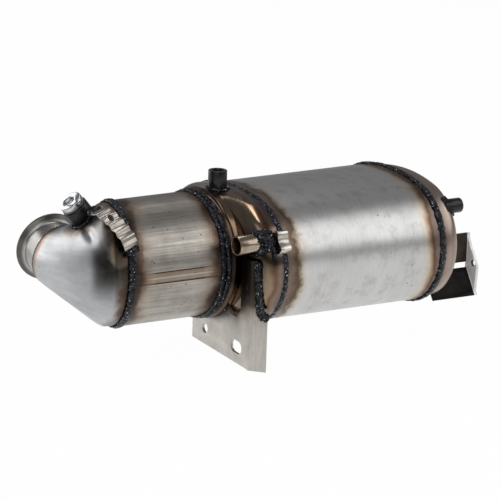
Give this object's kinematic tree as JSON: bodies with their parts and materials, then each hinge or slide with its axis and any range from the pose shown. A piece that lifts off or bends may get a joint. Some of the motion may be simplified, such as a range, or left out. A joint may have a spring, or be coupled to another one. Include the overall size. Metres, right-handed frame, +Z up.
{
  "type": "diesel particulate filter",
  "caption": "Welded steel exhaust filter with a pressed inlet elbow, round catalyst can, oval filter can, outlet cone, sensor bosses and mounting brackets",
  "frame": {"origin": "Middle of the inlet flange's mouth, on the bore's axis", "axes": "+X runs along both cans from inlet to outlet, +Z is up, and the inlet opens towards +Y"},
  "size_m": [0.4609, 0.1992, 0.1885],
  "materials": {
    "flange": "dark machined steel",
    "elbow": "satin pressed stainless steel",
    "can": "rolled stainless steel, heat tinted at the welds",
    "cone": "pressed stainless steel with bronze heat tint",
    "tube": "drawn tube with bronze heat tint",
    "clip": "bright formed strip",
    "bracket": "mill-finish sheet",
    "boss": "black oxidised steel",
    "weld": "dark oxidised weld metal",
    "plug": "bright plated steel",
    "washer": "copper-coloured sealing ring",
    "mat": "fibre mat",
    "catalyst": "coated cordierite honeycomb",
    "filter": "silicon carbide wall-flow honeycomb"
  },
  "bodies": {
    "root": {"inlet_flange": "flange", "inlet_weld": "weld", "inlet_elbow": "elbow", "elbow_boss": "boss", "elbow_boss_weld": "weld", "boss_washer": "washer", "boss_plug": "plug", "elbow_weld": "weld", "shield_clip": "clip", "shield_clip_welds": "weld", "catalyst_can": "can", "catalyst_mat": "mat", "catalyst_brick": "catalyst", "catalyst_weld": "weld", "transition_cone": "cone", "top_boss": "boss", "top_boss_weld": "weld", "side_tube": "tube", "side_tube_weld": "weld", "side_clip": "clip", "front_bracket": "bracket", "front_bracket_weld": "weld", "cone_weld": "weld", "filter_can": "can", "filter_mat": "mat", "filter_brick": "filter", "outlet_weld": "weld", "outlet_cone": "cone", "end_boss": "boss", "end_boss_weld": "weld", "rear_bracket": "bracket", "rear_bracket_weld": "weld", "outlet_pipe": "can", "outlet_pipe_weld": "weld"}
  },
  "joints": []
}
